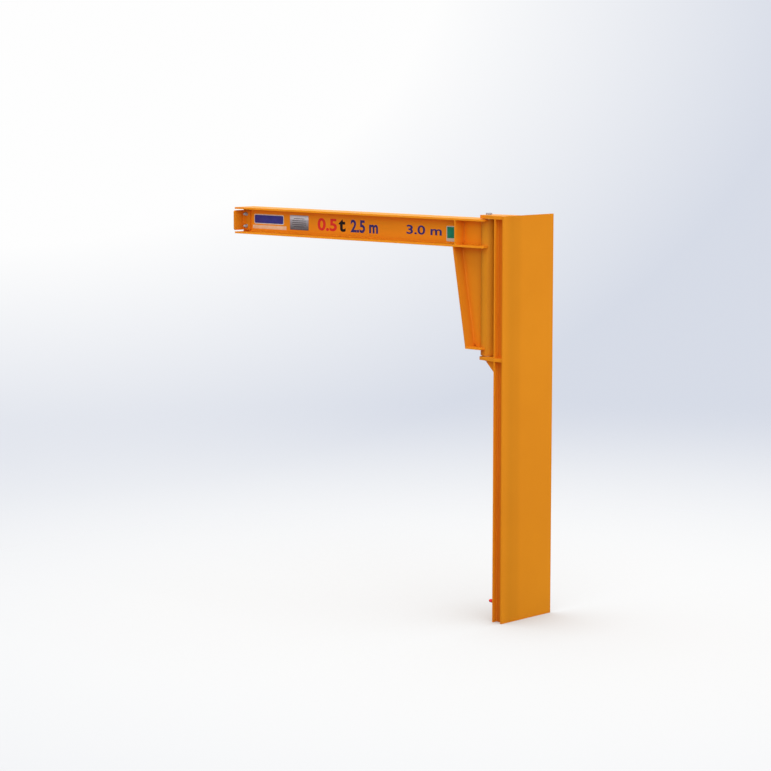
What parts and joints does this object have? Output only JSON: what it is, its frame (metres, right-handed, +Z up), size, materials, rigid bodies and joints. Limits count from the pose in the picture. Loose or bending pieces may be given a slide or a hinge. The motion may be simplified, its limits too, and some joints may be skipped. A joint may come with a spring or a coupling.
{
  "type": "slewing jib crane",
  "caption": "Slewing jib crane: a full-height post with a wide back plate holds a wide-flange boom and its knee bracket on a vertical pivot sleeve.",
  "frame": {"origin": "on the back plate's outer face at floor level, on the centre line of post and boom", "axes": "+X out of the back plate's outer face, -X along the boom at rest, +Z up"},
  "size_m": [2.869, 0.567, 3.014],
  "materials": {
    "orange_paint": "semi-gloss orange enamel",
    "zinc_steel": "dull zinc plating",
    "turned_steel": "turned steel",
    "bronze": "bearing bronze",
    "plate_aluminium": "satin bare plate",
    "red_plastic": "gloss red"
  },
  "bodies": {
    "post": {"back_plate": "orange_paint", "post_box_section": "orange_paint", "front_plate": "orange_paint", "cap_plate": "orange_paint", "lower_bracket_plate": "orange_paint", "bracket_gusset_left": "orange_paint", "bracket_gusset_right": "orange_paint", "recess_stiffener_left": "orange_paint", "recess_stiffener_right": "orange_paint", "pivot_shaft": "turned_steel", "top_pivot_bolt": "zinc_steel", "bottom_pivot_bolt": "zinc_steel", "upper_thrust_washer": "bronze", "lower_thrust_washer": "bronze", "red_stud_cap": "red_plastic"},
    "jib": {"pivot_sleeve": "orange_paint", "upper_bush": "bronze", "lower_bush": "bronze", "boom_beam": "orange_paint", "web_stiffener_left": "orange_paint", "web_stiffener_right": "orange_paint", "knee_flange": "orange_paint", "knee_web": "orange_paint", "knee_foot_plate": "orange_paint", "end_stop_left": "orange_paint", "end_stop_right": "orange_paint", "stop_bolt_upper": "zinc_steel", "stop_bolt_lower": "zinc_steel", "data_plate": "plate_aluminium"}
  },
  "joints": [
    {"name": "jib_slew", "type": "hinge", "parent": "post", "child": "jib", "pos_m": [-0.236, 0, 2.4685], "axis": [0, 0, 1], "range_deg": [-90, 90]}
  ]
}
